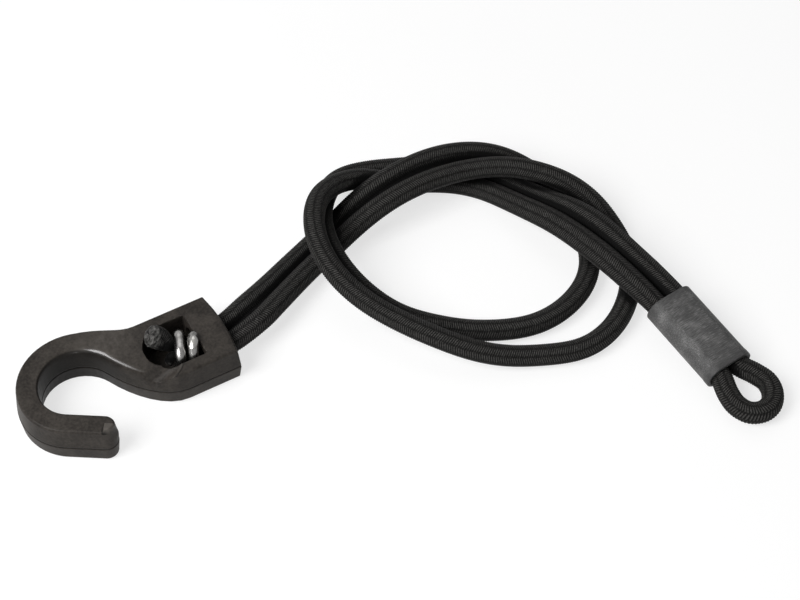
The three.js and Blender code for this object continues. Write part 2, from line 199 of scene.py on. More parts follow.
def tool_marks(points, normals):
    """Where each point of the hook goes: drawn in by a bell-shaped groove at the parting height and by
    a step above it, outside the window and the slot, and lifted by a square wedge at the nub and by a
    bell-shaped stub on the tip's end. Also gives the shares of the groove, with the painted shadow that
    lies along two sides of the nub, and of the nub, from 0 to 1."""
    x, y, z = points.T
    window = ((points[:, :2] > WINDOW_LOW) & (points[:, :2] < WINDOW_HIGH)).all(axis=1)
    slot = (x > WINDOW_LOW[0]) & (np.abs(y) < SLOT_HALF)
    side = np.where(window | slot, 0, 1 - normals[:, 2] ** 2)
    groove = side * np.exp(-((z - PARTING) / LINE_HALF) ** 2)
    step = side * UPPER_STEP * ease(z, PARTING, PARTING + LINE_HALF)
    away = points[:, :2] - NUB_PLACE
    along = away @ np.array([np.cos(NUB_TURN), np.sin(NUB_TURN)])
    across = away @ np.array([-np.sin(NUB_TURN), np.cos(NUB_TURN)])
    reach = np.maximum(np.abs(along), np.abs(across))
    upper = normals[:, 2] > UPPER_FACE
    nub = (1 - ease(reach, NUB_HALF, NUB_HALF + NUB_EDGE)) * upper
    lift = NUB_RISE * (1 - NUB_TILT - NUB_TILT * across / NUB_HALF) * nub
    # Painted shadow along two sides of the nub.
    painted_nub_shadow = (1 - nub) * (1 - ease(reach, NUB_HALF + NUB_EDGE, NUB_HALF + 2 * NUB_EDGE))
    painted_nub_shadow = painted_nub_shadow * ease(-along - across, 0, 2 * NUB_HALF) * upper
    stub = STUB_RISE * np.exp(-(np.linalg.norm(points - STUB_PLACE, axis=1) / STUB_RADIUS) ** 2)
    drawn = (LINE_DEPTH * groove + step - stub)[:, None] * normals * (1, 1, 0)
    return points - drawn + lift[:, None] * np.array([0, 0, 1]), np.maximum(groove, painted_nub_shadow), nub


def bow_shade(points, normals):
    """1 on the walls inside the bow, which face its middle, fading out with the distance from it: where
    shade is painted.
    """
    inward = BOW_MIDDLE - points[:, :2]
    away = np.linalg.norm(inward, axis=1)
    facing = (inward * normals[:, :2]).sum(axis=1) / away
    return ease(facing, *BOW_FACING) * (1 - ease(away, BOW_FADE, BOW_REACH))


def edge_share(mesh, points, normals):
    """1 on sharp outer edges, by how far each point stands proud of its softened surroundings, and 0 at
    the witness line."""
    level = softened(mesh, points, np.full(len(points), RELAX_SHARE), EDGE_ROUNDS)
    proud = ((points - level) * normals).sum(axis=1)
    return ease(proud, EDGE_LEAST, EDGE_MOST) * (np.abs(points[:, 2] - PARTING) > EDGE_CLEAR)


def carry(mesh, name, values):
    """A value for each point, kept in the mesh."""
    data = mesh.attributes.new(name, "FLOAT", "POINT").data
    data.foreach_set("value", values.astype(np.float32).ravel())


def moulded(node, name):
    """A node's solid remade in even cells and relaxed, which softens its edges, then marked with what the
    tool and the use left on it and with painted shade, sheen and highlights, and thinned."""
    piece = link(node.data.copy(), name)
    weld = piece.modifiers.new("weld", "WELD")
    weld.merge_threshold = HOOK_WELD
    remesh = piece.modifiers.new("cells", "REMESH")
    remesh.mode = "VOXEL"
    remesh.voxel_size = HOOK_CELL
    relax = piece.modifiers.new("relax", "SMOOTH")
    relax.factor = RELAX_SHARE
    relax.iterations = HOOK_RELAX
    mesh = settle(piece)
    points, normals = points_of(mesh)
    soft, gloss = throat_shares(points)
    points = softened(mesh, points, THROAT_PULL * soft, THROAT_ROUNDS)
    marked, groove, nub = tool_marks(points, normals)
    mesh.vertices.foreach_set("co", marked.astype(np.float32).ravel())
    mesh.update()
    points, normals = points_of(mesh)
    rise = normals[:, 2]
    # Painted sheen on the upper faces round the shoulder.
    painted_sheen = np.exp(-(np.linalg.norm(points[:, :2] - SHEEN_PLACE, axis=1) / SHEEN_REACH) ** 2)
    # A painted highlight along the scoop's lip.
    lip = top_line(points, normals, SCOOP_EDGE + SCOOP_LIP)
    # The groove's share, with painted shadow along the scoop's edge and beside the nub.
    carry(mesh, "groove", np.maximum(groove, top_line(points, normals, SCOOP_EDGE)))
    carry(mesh, "painted_sheen", np.maximum(painted_sheen * ease(rise, *SHEEN_LEVEL), lip))
    carry(mesh, "nub", nub)
    carry(mesh, "polish", gloss * ease(rise, *POLISH_STEEP) * (1 - ease(rise, *POLISH_LEVEL)))
    # Painted shade on the walls inside the bow.
    carry(mesh, "throat", bow_shade(points, normals))
    carry(mesh, "edge", edge_share(mesh, points, normals) * (nub == 0))
    thin = piece.modifiers.new("thin", "DECIMATE")
    thin.ratio = HOOK_KEPT
    mesh = settle(piece)
    mesh.materials.clear()
    mesh.shade_smooth()
    return piece


def material(name, roughness=0.5, metallic=0.0, gloss=0.5):
    """A new material, with its nodes, links and shader."""
    made = bpy.data.materials.new(name)
    made.use_nodes = True
    tree = made.node_tree
    shader = tree.nodes["Principled BSDF"]
    shader.inputs["Roughness"].default_value = roughness
    shader.inputs["Metallic"].default_value = metallic
    shader.inputs["Specular IOR Level"].default_value = gloss
    return made, tree.nodes, tree.links, shader


def attribute(nodes, name):
    """The socket of a value that the mesh carries."""
    made = nodes.new("ShaderNodeAttribute")
    made.attribute_name = name
    return made.outputs["Fac"]


def noise(nodes, links, coordinate, scale, detail, stretch=(1, 1, 1)):
    """Noise on a coordinate that is first stretched along each axis; gives its value's socket."""
    mapping = nodes.new("ShaderNodeMapping")
    mapping.inputs["Scale"].default_value = stretch
    links.new(coordinate, mapping.inputs["Vector"])
    texture = nodes.new("ShaderNodeTexNoise")
    texture.inputs["Scale"].default_value = scale
    texture.inputs["Detail"].default_value = detail
    links.new(mapping.outputs["Vector"], texture.inputs["Vector"])
    return texture.outputs["Fac"]


def grey(level):
    """A colour of three equal parts."""
    return level, level, level, 1


def ramp(nodes, links, value, stops):
    """A colour for each value, blended between stops of (place, colour)."""
    made = nodes.new("ShaderNodeValToRGB")
    elements = made.color_ramp.elements
    while len(elements) < len(stops):
        elements.new(1.0)
    for element, (place, colour) in zip(elements, stops):
        element.position = place
        element.color = colour
    links.new(value, made.inputs["Fac"])
    return made.outputs["Color"]


def bump(nodes, links, height, depth):
    """A bump of that depth in metres; gives its normal's socket."""
    made = nodes.new("ShaderNodeBump")
    made.inputs["Distance"].default_value = depth
    links.new(height, made.inputs["Height"])
    return made.outputs["Normal"]


def math(nodes, links, operation, first, second=None):
    """One step of arithmetic on one or two values, each a socket or a number; gives its socket."""
    made = nodes.new("ShaderNodeMath")
    made.operation = operation
    for socket, value in zip(made.inputs, (first, second)):
        if value is None:
            continue
        if isinstance(value, (int, float)):
            socket.default_value = value
        else:
            links.new(value, socket)
    return made.outputs["Value"]


def mix(nodes, links, share, first, second):
    """A blend from a first colour's socket to a second colour."""
    made = nodes.new("ShaderNodeMixRGB")
    links.new(share, made.inputs["Fac"])
    links.new(first, made.inputs["Color1"])
    made.inputs["Color2"].default_value = second
    return made.outputs["Color"]


def charcoal_plastic():
    """Dark plastic: flow clouds under a mottled grain, grimy in the witness line, darker at its sharp
    edges, with painted shade inside the bow, along the scoop's edge and beside the nub, worn pale here
    and there and on those edges, where it is partly a painted highlight, pale on the nub, partly a
    painted highlight, with a painted sheen round the shoulder and a painted highlight on the scoop's lip,
    and polished along the throat."""
    made, nodes, links, shader = material("charcoal_plastic", gloss=0.14)
    place = nodes.new("ShaderNodeTexCoord").outputs["Object"]
    clouds = noise(nodes, links, place, CLOUD_SCALE, 5)
    mottle = noise(nodes, links, place, MOTTLE_SCALE, 4)
    wear_and_sheen_patches = noise(nodes, links, place, WEAR_AND_SHEEN_SCALE, 6, WEAR_AND_SHEEN_STRETCH)
    spots = noise(nodes, links, place, SPOT_SCALE, 2)
    edge = attribute(nodes, "edge")
    tone = math(nodes, links, "ADD", math(nodes, links, "MULTIPLY", clouds, CLOUD_SHARE),
                math(nodes, links, "MULTIPLY", mottle, 1 - CLOUD_SHARE))
    grain = ramp(nodes, links, tone, [(0.38, PLASTIC_DARK), (0.64, PLASTIC_GREY)])

    patchy = ramp(nodes, links, clouds, [(0.35, grey(0.3)), (0.5, grey(1))])
    # Grime in the witness line, with painted shadow along the scoop's edge and beside the nub, in
    # patches.
    line = math(nodes, links, "MULTIPLY", attribute(nodes, "groove"), patchy)
    # Painted shade on the walls inside the bow.
    throat = math(nodes, links, "MULTIPLY", attribute(nodes, "throat"), THROAT_SHADE)
    # Darker along sharp edges.
    rim = math(nodes, links, "MULTIPLY", edge, EDGE_DARKENING)
    # Grime, painted shade and darker edges together.
    soot_and_shade = math(nodes, links, "MAXIMUM", math(nodes, links, "MAXIMUM", line, throat), rim)
    sooty_and_shaded = mix(nodes, links, soot_and_shade, grain, PLASTIC_SOOT_AND_SHADE)

    # Worn pale at spots here and there and on sharp edges, where it is partly a painted highlight.
    bare_and_highlit = math(nodes, links, "ADD", edge,
                ramp(nodes, links, spots, [(0.62, grey(0)), (0.74, grey(0.25))]))
    worn = math(nodes, links, "MULTIPLY", bare_and_highlit,
                ramp(nodes, links, wear_and_sheen_patches, [(0.46, grey(0)), (0.66, grey(0.7))]))
    # The nub's top painted pale, partly a painted highlight.
    worn = math(nodes, links, "ADD", worn,
                math(nodes, links, "MULTIPLY", attribute(nodes, "nub"), NUB_PALE))
    # Painted sheen round the shoulder and a painted highlight on the scoop's lip, in patches.
    patchy_painted_sheen = math(nodes, links, "MULTIPLY", attribute(nodes, "painted_sheen"),
                  ramp(nodes, links, wear_and_sheen_patches, [(0.3, grey(0.16)), (0.7, grey(0.5))]))
    worn = math(nodes, links, "ADD", worn, patchy_painted_sheen)
    # Wear, painted sheen and painted highlights together.
    links.new(mix(nodes, links, worn, sooty_and_shaded, PLASTIC_WORN_AND_SHEEN), shader.inputs["Base Color"])

    dull = math(nodes, links, "ADD", PLASTIC_ROUGH,
                math(nodes, links, "MULTIPLY", mottle, MOTTLE_ROUGH))
    links.new(dull, shader.inputs["Roughness"])
    links.new(bump(nodes, links, mottle, MOTTLE_DEPTH), shader.inputs["Normal"])
    links.new(attribute(nodes, "polish"), shader.inputs["Coat Weight"])
    shader.inputs["Coat Roughness"].default_value = 0.12
    return made


hook = moulded(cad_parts["hook"], "hook_moulding")
hook.data.materials.append(charcoal_plastic())
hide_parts("hook")
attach(hook, "hook")


# Wire clip: a length of bare steel wire closed by pliers round both cord ends in the hook's pocket.
# It goes round a little over once as a flattened coil, and its last end, nipped off, is left standing.
WIRE_RADIUS = 1.4 * MM
CLIP_PITCH = 3.3 * MM
CLIP_START = -0.35
CLIP_LEAN = np.radians(48)
CLIP_END = 3.4 * MM
CLIP_YAW = np.radians(-13)
CLIP_PLACE = MM * np.array([15.1, -0.5, 7.8])
NECK_RADIUS = 1.15 * MM
NECK_APART = 0.2 * MM
NECK_HALF = NECK_RADIUS + NECK_APART
WIRE_GAP = 0.25 * MM
CLIP_BEND = NECK_RADIUS + WIRE_GAP + WIRE_RADIUS
CLIP_ROWS = 240
WIRE_SIDES = 28
CUT_FACING = np.array([-0.22, -0.12, 0.97])
CUT_DOME = 0.55 * MM
POLE_WELD = 1e-7
WIRE_LINES = (24, 0.3, 1)
WIRE_PATCHES = (2, 0.5, 1)
STEEL_PALE = (0.52, 0.51, 0.50, 1)
STEEL_DULL = (0.25, 0.245, 0.235, 1)
STEEL_CUT = (0.62, 0.61, 0.58, 1)
STEEL_ROUGH = 0.16
LINES_ROUGH = 0.2
clip_lap = 4 * NECK_HALF + 2 * np.pi * CLIP_BEND
clip_leave = 3 * NECK_HALF + CLIP_BEND * (2 * np.pi - CLIP_LEAN)


def surface(name, grid, uv=None, attributes=None):
    """A closed skin over a grid of points, rows along it and columns round it.

    Each column joins the next, and the last joins the first. The first and last rows are poles, each
    drawn to one point, or they are one and the same ring, and what lies together there is merged. uv is
    a grid of one more column, for the map's seam.
    """
    rows, columns = grid.shape[:2]
    index = np.arange(rows * columns).reshape(rows, columns)
    after = np.roll(index, -1, axis=1)
    quads = np.stack([index[:-1], after[:-1], after[1:], index[1:]], axis=-1).reshape(-1, 4)
    mesh = bpy.data.meshes.new(name)
    mesh.from_pydata(grid.reshape(-1, 3), [], quads)
    if uv is not None:
        corners = np.stack([uv[:-1, :-1], uv[:-1, 1:], uv[1:, 1:], uv[1:, :-1]], axis=2)
        layer = mesh.uv_layers.new(name="along")
        layer.data.foreach_set("uv", corners.astype(np.float32).ravel())
    for key, values in (attributes or {}).items():
        carry(mesh, key, values)
    piece = link(mesh, name)
    weld = piece.modifiers.new("poles", "WELD")
    weld.merge_threshold = POLE_WELD
    settle(piece).shade_smooth()
    return piece


def unit(vectors):
    """Vectors of length one."""
    return vectors / np.linalg.norm(vectors, axis=-1, keepdims=True)


def tube(path, radius, sides, up=(0, 0, 1)):
    """Rings of points round a path: each ring lies square to the path, level across it.

    radius is one number for each ring, or a grid of one for each point.
    """
    way = unit(np.gradient(path, axis=0))
    across = unit(np.cross(way, up))
    over = np.cross(across, way)
    turn = np.linspace(0, 2 * np.pi, sides, endpoint=False)
    size = np.broadcast_to(np.asarray(radius).reshape(len(path), -1), (len(path), sides))
    ring = np.cos(turn)[None, :, None] * across[:, None] + np.sin(turn)[None, :, None] * over[:, None]
    return path[:, None] + size[..., None] * ring


def capped(rings, first, last):
    """Rings with a pole added before the first and after the last."""
    poles = [np.broadcast_to(point, rings[:1].shape) for point in (first, last)]
    return np.concatenate([poles[0], rings, poles[1]])


def to_poles(values):
    """Values of rings, the first and the last given to the poles too."""
    return np.concatenate([values[:1], values, values[-1:]])


def clip_path(run):
    """Flattened coil about X by length from the top of its first turn: half circles at both sides
    joined by straights, one pitch a turn, left along a straight tangent past the last bend."""
    way = np.where(run < 0, run + clip_lap, np.minimum(run, clip_leave))
    past = np.maximum(run - clip_leave, 0)
    bend = np.pi * CLIP_BEND
    near = (way - NECK_HALF) / CLIP_BEND
    far = (way - 3 * NECK_HALF - bend) / CLIP_BEND
    parts = [way < NECK_HALF, way < NECK_HALF + bend, way < 3 * NECK_HALF + bend,
             way < 3 * NECK_HALF + 2 * bend]
    y = np.select(parts, [way, NECK_HALF + CLIP_BEND * np.sin(near), 2 * NECK_HALF + bend - way,
                          -NECK_HALF - CLIP_BEND * np.sin(far) + past * np.cos(CLIP_LEAN)],
                  way - clip_lap)
    z = np.select(parts, [CLIP_BEND, CLIP_BEND * np.cos(near), -CLIP_BEND,
                          -CLIP_BEND * np.cos(far) + past * np.sin(CLIP_LEAN)], CLIP_BEND)
    return np.stack([run / clip_lap * CLIP_PITCH, y, z], axis=-1)


def in_clip(points):
    """Places in the clip's own frame, moved to where it sits in the hook."""
    x, y, z = np.moveaxis(points, -1, 0)
    turned = np.stack([x * np.cos(CLIP_YAW) - y * np.sin(CLIP_YAW),
                       x * np.sin(CLIP_YAW) + y * np.cos(CLIP_YAW), z], axis=-1)
    return turned + CLIP_PLACE


def cut_level(rings, place, way):
    """Points of a straight rod that lie past a slanted plane through place, drawn back along the rod."""
    past = np.maximum((rings - place) @ CUT_FACING / (way @ CUT_FACING), 0)
    return rings - past[..., None] * way


def drawn_steel():
    """Bare steel wire: faint lines drawn along it, dull patches, and clean where it was cut."""
    made, nodes, links, shader = material("drawn_steel", metallic=1.0)
    along = nodes.new("ShaderNodeUVMap").outputs["UV"]
    lines = noise(nodes, links, along, 1, 2, WIRE_LINES)
    patches = noise(nodes, links, along, 1, 3, WIRE_PATCHES)
    colour = ramp(nodes, links, patches, [(0.4, STEEL_DULL), (0.6, STEEL_PALE)])
    colour = mix(nodes, links, attribute(nodes, "cut"), colour, STEEL_CUT)
    links.new(colour, shader.inputs["Base Color"])
    dull = math(nodes, links, "ADD", STEEL_ROUGH,
                math(nodes, links, "MULTIPLY", lines, LINES_ROUGH))
    links.new(dull, shader.inputs["Roughness"])
    return made


spare = 2 * WIRE_RADIUS
run = np.linspace(CLIP_START * clip_lap, clip_leave + CLIP_END + spare, CLIP_ROWS)
wire = in_clip(clip_path(run))
cut_place = in_clip(clip_path(np.array([clip_leave + CLIP_END])))[0]
axis_way = np.array([np.cos(CLIP_YAW), np.sin(CLIP_YAW), 0])
wire_rings = tube(wire, np.full(CLIP_ROWS, WIRE_RADIUS), WIRE_SIDES, axis_way)
standing = run > clip_leave
wire_rings[standing] = cut_level(wire_rings[standing], cut_place, unit(wire[-1] - wire[-2]))
wire_rings = capped(wire_rings, wire[0], cut_place + CUT_DOME * CUT_FACING)
wire_uv = np.stack(np.broadcast_arrays(np.linspace(0, 1, WIRE_SIDES + 1)[None],
                                       to_poles(run)[:, None] / WIRE_RADIUS), axis=-1)
cut_rows = slice(-2, None)
wire_uv[cut_rows, :, 0] = 0.5
cut = np.zeros(wire_rings.shape[:2])
cut[cut_rows] = 1
clip = surface("clip_wire", wire_rings, wire_uv, {"cut": cut})
clip.data.materials.append(drawn_steel())
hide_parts("wire_clip")
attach(clip, "cord")


# Cord: one length of black shock cord, rubber strands in a braided yarn jacket. It is folded in half,
# tied in a loose overhand knot, and both ends, melted shut, go through the hook's slot into the clip.
CORD_RADIUS = 2.85 * MM
PAIR_APART = 0.1 * MM
PAIR_HALF = CORD_RADIUS + PAIR_APART
FAR_STRAND = MM * np.array([
    (37, 6.4, 5), (45, 10, 3.8), (54, 14.2, 3), (62.5, 17.6, 3), (71, 20.8, 3.4), (77.8, 21.6, 7.2),
    (84.4, 21.6, 10.4), (92, 22.2, 11.3), (101, 22.4, 11), (109.4, 20.9, 10.2), (117, 17.4, 8.8),
    (122.8, 12.6, 6.2), (126.6, 7.6, 3.4), (128, 0, 3), (127.4, -8.5, 3), (125.3, -18.3, 3),
    (119.7, -27.5, 3), (110, -33.2, 3), (98.8, -34.4, 3), (85, -28.7, 3), (76, -21.2, 3),
    (69.6, -14.2, 3.8), (64.4, -4.4, 7), (62.4, 5, 10.4), (64.8, 16.4, 9.9), (70, 25.6, 7.5),
    (77.5, 32.6, 5), (86, 33.3, 3.1), (96.7, 29, 3), (107.8, 24.2, 3), (114, 17.4, 3), (118.2, 11, 3),
    (121.4, 2, 4.6), (123, -4, 6.8), (125.2, -10.8, 9.2), (127.7, -19.8, 10.2), (129.3, -28.8, 9.8),
    (131.6, -37.8, 8.4)])
NEAR_STRAND = MM * np.array([
    (37.7, -0.9, 6.4), (44, 2.3, 5.8), (51.5, 6.3, 5), (59, 9.8, 4.6), (66.6, 12.8, 4.6),
    (73, 14.4, 6.4), (79.4, 14.8, 9.2), (86.2, 15.2, 10.8), (93, 15.6, 11), (101, 15.6, 10.4),
    (110.4, 13.8, 10), (118.8, 8.7, 10.8), (124.4, 3.7, 10.2), (128.7, -1.3, 9.2), (132.3, -8.8, 7.2),
    (133.5, -16.2, 4.6), (133, -24, 3), (129.6, -32.5, 3), (123.8, -39.6, 3), (116, -45, 3),
    (105.9, -47.1, 3), (94.8, -43.3, 3), (86.3, -39.5, 4), (79.8, -35.1, 5.6), (73.6, -28.8, 7.4),
    (67.6, -20.6, 8.6), (62, -11, 10.4), (58.6, -2, 13.6), (58.8, 7.6, 15.8), (62, 15.8, 16),
    (67.2, 22.2, 14.8), (75, 26.2, 11.6), (83.8, 27.4, 7.3), (90, 24.8, 4.8), (96.6, 22.4, 3.2),
    (103.4, 19, 3), (110.2, 12.4, 3.4), (115.4, -0.4, 6), (119.3, -12, 8.6), (121.7, -22.8, 10),
    (123.5, -31, 10.2), (125.2, -38.4, 9.4)])
EYE = MM * np.array([
    (138.4, -75.3, 4), (139.8, -78.7, 3.6), (139.3, -82, 3.3), (137.2, -84.7, 3), (134.1, -85.6, 3),
    (131, -84.3, 3), (129.3, -81, 3.2), (129.3, -77, 3.7)])
FAR_TAIL = MM * np.array([
    (12.3, 1.8, 10.2, 2.4), (11.2, 2.5, 11.5, 2.95), (9.55, 2.9, 13.3, 3)])
NEAR_TAIL = MM * np.array([
    (12, -1.15, 6.8, 1.3), (11.5, -1.25, 6.2, 1.4)])
PAIR_SWELL = MM * np.array([0.1, 0.35, 0.45, 0.45, 0.35])
POCKET_END = 19.7 * MM
SLOT_MIDDLE = 23.9 * MM
SLOT_MOUTH = 28.1 * MM
SLOT_HEIGHT = 5.5 * MM
CLIP_EXIT = 2.5 * MM
SLEEVE_LENGTH = 24.6 * MM
SLEEVE_START = MM * np.array([130.6, -47.5, 7.2])
SLEEVE_YAW = np.radians(-83.8)
SLEEVE_DIP = np.radians(6.4)
HELD_SHARES = (0, 0.4, 0.8, 1)
SPAN_STEPS = 24
SLACK_REACH = 9 * MM
SLACK_FADE = 12 * MM
FAR_SPLIT = 31
NEAR_SPLIT = 36
BRAID_WALES = 8
BRAID_PITCH = 0.58 * MM
BRAID_SLANT = np.radians(18)
BRAID_RELIEF = 0.24 * MM
WALE_GROOVE = 0.36
WALE_POINTS = 5
RIB_FLOOR = 0.3
ROWS_PER_RIB = 4
ROW_PITCH = BRAID_PITCH / ROWS_PER_RIB
MELT_DEPTH = 0.9 * MM
MELT_ROWS = 10
MELT_FADE = 8
MELT_WAVES = [(3, 0.5, 0), (5, -0.9, 1), (8, 1.7, 0)]
# Painted shade where strands lie close together.
FURROW_STEP = 12
FURROW_APART = 14 * MM
FURROW_GAPS = (0.5 * MM, 2.6 * MM)
FURROW_SHADE = 0.6
FLUFF_SCALE = 2600
FLUFF_SHARE = 0.9
FLUFF_DEPTH = 0.05 * MM
SPECK_SCALE = 900
SPECK_SHARE = 0.5
RELIEF_SHARE = 0.7
# Yarn tones: pale on the ribs and dark between them, painted highlight and shade.
YARN_DARK = grey(0.0015)
YARN_BLACK = (0.0070, 0.0068, 0.0065, 1)
YARN_PALE = (0.058, 0.0565, 0.054, 1)
MELT_GREY = (0.13, 0.127, 0.122, 1)


def in_sleeve(points):
    """Places along and across the sleeve, moved to where it lies: dipped, then turned on the ground."""
    x, y, z = np.moveaxis(np.asarray(points, float), -1, 0)
    ahead = x * np.cos(SLEEVE_DIP) + z * np.sin(SLEEVE_DIP)
    high = z * np.cos(SLEEVE_DIP) - x * np.sin(SLEEVE_DIP)
    return np.stack([ahead * np.cos(SLEEVE_YAW) - y * np.sin(SLEEVE_YAW),
                     ahead * np.sin(SLEEVE_YAW) + y * np.cos(SLEEVE_YAW), high], axis=-1) + SLEEVE_START


def sized(points, swell=()):
    """A row of place and radius for each point: the cord's own radius, swollen over the last points by
    the amounts given."""
    radius = np.full(len(points), CORD_RADIUS)
    radius[len(points) - len(swell):] += swell
    return np.column_stack([points, radius])


def hook_stretch(tail, side, back):
    """Route from a melted end through the clip and the slot, a row of place and radius for each point."""
    squeezed = in_clip(np.array([(back, side * NECK_HALF, 0), (0, side * NECK_HALF, 0),
                                 (CLIP_EXIT, side * NECK_HALF, 0)]))
    inlet = (POCKET_END, side * (NECK_HALF + PAIR_HALF) / 2, (CLIP_PLACE[2] + SLOT_HEIGHT) / 2)
    slot = np.array([(reach, side * PAIR_HALF, SLOT_HEIGHT) for reach in (SLOT_MIDDLE, SLOT_MOUTH)])
    neck = np.vstack([squeezed, inlet])
    neck = np.column_stack([neck, np.full(len(neck), NECK_RADIUS)])
    return np.vstack([tail[::-1], neck, sized(slot)])


def centripetal(points, steps):
    """Smooth curve through points, its pace set by the square root of each span, steps to a span."""
    ends = np.vstack([2 * points[0] - points[1], points, 2 * points[-1] - points[-2]])
    p0, p1, p2, p3 = ends[:-3], ends[1:-2], ends[2:-1], ends[3:]
    pace = np.sqrt(np.linalg.norm(np.diff(ends, axis=0), axis=1))[:, None]
    d0, d1, d2 = pace[:-2], pace[1:-1], pace[2:]
    leave = ((p1 - p0) / d0 - (p2 - p0) / (d0 + d1) + (p2 - p1) / d1) * d1
    arrive = ((p2 - p1) / d1 - (p3 - p1) / (d1 + d2) + (p3 - p2) / d2) * d1
    t = np.linspace(0, 1, steps, endpoint=False)[None, :, None]
    curve = (p1[:, None] + leave[:, None] * t
             + (3 * (p2 - p1) - 2 * leave - arrive)[:, None] * t ** 2
             + (2 * (p1 - p2) + leave + arrive)[:, None] * t ** 3)
    return np.vstack([curve.reshape(-1, 3), points[-1:]])


def slackened(path, share, half):
    """A line drawn by its share toward its bell-weighted mean over half as many points either way, as a
    limp cord evens out its own bends."""
    bell = np.hanning(2 * half + 1)
    padded = np.pad(path, ((half, half), (0, 0)), mode="edge")
    mean = [np.convolve(axis, bell / bell.sum(), mode="valid") for axis in padded.T]
    return path + share[:, None] * (np.stack(mean, axis=-1) - path)


def between(run, first, last):
    """1 between two lengths along the cord, fading to 0 at both."""
    return ease(run, first, first + SLACK_FADE) * (1 - ease(run, last - SLACK_FADE, last))


def braid(around, row):
    """Relief from 0 to 1 and shift along the cord of each point of the jacket.

    Wales run along the cord with a groove between them. Ribs cross each wale, half a rib off those of
    its neighbours, and lean one way and the other in turn, as a zigzag round the cord.
    """
    wale = around * BRAID_WALES
    across = np.mod(wale, 1)
    crown = 1 - WALE_GROOVE + WALE_GROOVE * np.sqrt(4 * across * (1 - across))
    rib = 0.5 + 0.5 * np.cos(2 * np.pi * (row / ROWS_PER_RIB + 0.5 * np.mod(np.floor(wale), 2)))
    zigzag = 4 * np.abs(np.mod(wale / 2, 1) - 0.5) - 1
    reach = np.pi * CORD_RADIUS / BRAID_WALES * np.tan(BRAID_SLANT)
    return (RIB_FLOOR + (1 - RIB_FLOOR) * rib) * crown, reach * zigzag


def lumps(around, row):
    """Relief from 0 to 1 of the melted end: the mean of waves round it that drift from row to row."""
    turn = 2 * np.pi * around
    waves = [np.sin(count * turn + drift * row + start) for count, drift, start in MELT_WAVES]
    return 0.5 + sum(waves) / (2 * len(waves))


def braided_yarn():
    """Black yarn: painted paler on the ribs and darker between them, a painted highlight and shade, with
    painted shade where strands lie together, fluff all over it and grey melted ends."""
    made, nodes, links, shader = material("braided_yarn", 0.7, gloss=0.08)
    place = nodes.new("ShaderNodeTexCoord").outputs["Object"]
    fluff = noise(nodes, links, place, FLUFF_SCALE, 3)
    uneven = math(nodes, links, "MULTIPLY", math(nodes, links, "SUBTRACT", fluff, 0.5), FLUFF_SHARE)
    height = math(nodes, links, "ADD", attribute(nodes, "relief"), uneven)
    specks = math(nodes, links, "MULTIPLY", attribute(nodes, "melt"),
                  noise(nodes, links, place, SPECK_SCALE, 4))
    height = math(nodes, links, "ADD", math(nodes, links, "MULTIPLY", height, RELIEF_SHARE),
                  math(nodes, links, "MULTIPLY", specks, SPECK_SHARE))
    # Painted shade where strands lie together.
    height = math(nodes, links, "SUBTRACT", height,
                  math(nodes, links, "MULTIPLY", attribute(nodes, "painted_furrow_shade"), FURROW_SHADE))
    # Paler on the ribs and darker between them: painted highlight and shade.
    colour = ramp(nodes, links, height, [(0.12, YARN_DARK), (0.34, YARN_BLACK), (0.66, YARN_PALE),
                                         (0.95, MELT_GREY)])
    links.new(colour, shader.inputs["Base Color"])
    links.new(bump(nodes, links, fluff, FLUFF_DEPTH), shader.inputs["Normal"])
    shader.inputs["Sheen Weight"].default_value = 0.03
    shader.inputs["Sheen Roughness"].default_value = 0.5
    return made


far_hook = hook_stretch(FAR_TAIL, 1, -WIRE_RADIUS)
near_hook = hook_stretch(NEAR_TAIL, -1, CLIP_START * CLIP_PITCH - WIRE_RADIUS)
held = np.array([(share * SLEEVE_LENGTH, PAIR_HALF, 0) for share in HELD_SHARES])
fold = np.vstack([in_sleeve(held), EYE, in_sleeve(held * (1, -1, 1))[::-1]])
route = np.vstack([far_hook, sized(FAR_STRAND, PAIR_SWELL), sized(fold),
                   sized(NEAR_STRAND, PAIR_SWELL)[::-1], near_hook[::-1]])

smooth = centripetal(route[:, :3], SPAN_STEPS)
lengths = np.concatenate([[0], np.cumsum(np.linalg.norm(np.diff(smooth, axis=0), axis=1))])
point_lengths = lengths[::SPAN_STEPS]
stations = np.arange(0, lengths[-1], ROW_PITCH)
centre = np.stack([np.interp(stations, lengths, smooth[:, k]) for k in range(3)], axis=-1)
thick = np.interp(stations, point_lengths, route[:, 3])
far_first, far_last = len(far_hook), len(far_hook) + len(FAR_STRAND)
near_first, near_last = -1 - len(near_hook) - len(NEAR_STRAND), -1 - len(near_hook)
slack = (between(stations, point_lengths[far_first], point_lengths[far_last])
         + between(stations, point_lengths[near_first], point_lengths[near_last]))
centre = slackened(centre, slack, int(SLACK_REACH / ROW_PITCH))

dome = np.linspace(np.pi / 2, 0, MELT_ROWS, endpoint=False)
bulge = MELT_DEPTH * np.sin(dome)[:, None]
shrink = np.sqrt(np.cos(dome))
centre = np.vstack([centre[0] + bulge * unit(centre[0] - centre[1]), centre,
                    centre[-1] + bulge[::-1] * unit(centre[-1] - centre[-2])])
thick = np.concatenate([thick[0] * shrink, thick, thick[-1] * shrink[::-1]])
cord_rows = np.arange(len(centre))
melt = 1 - ease(np.minimum(cord_rows, cord_rows[::-1]), MELT_ROWS, MELT_ROWS + MELT_FADE)
first_cut = MELT_ROWS + np.searchsorted(stations, point_lengths[len(far_hook) + FAR_SPLIT])
second_cut = MELT_ROWS + np.searchsorted(stations, point_lengths[-1 - len(near_hook) - NEAR_SPLIT])


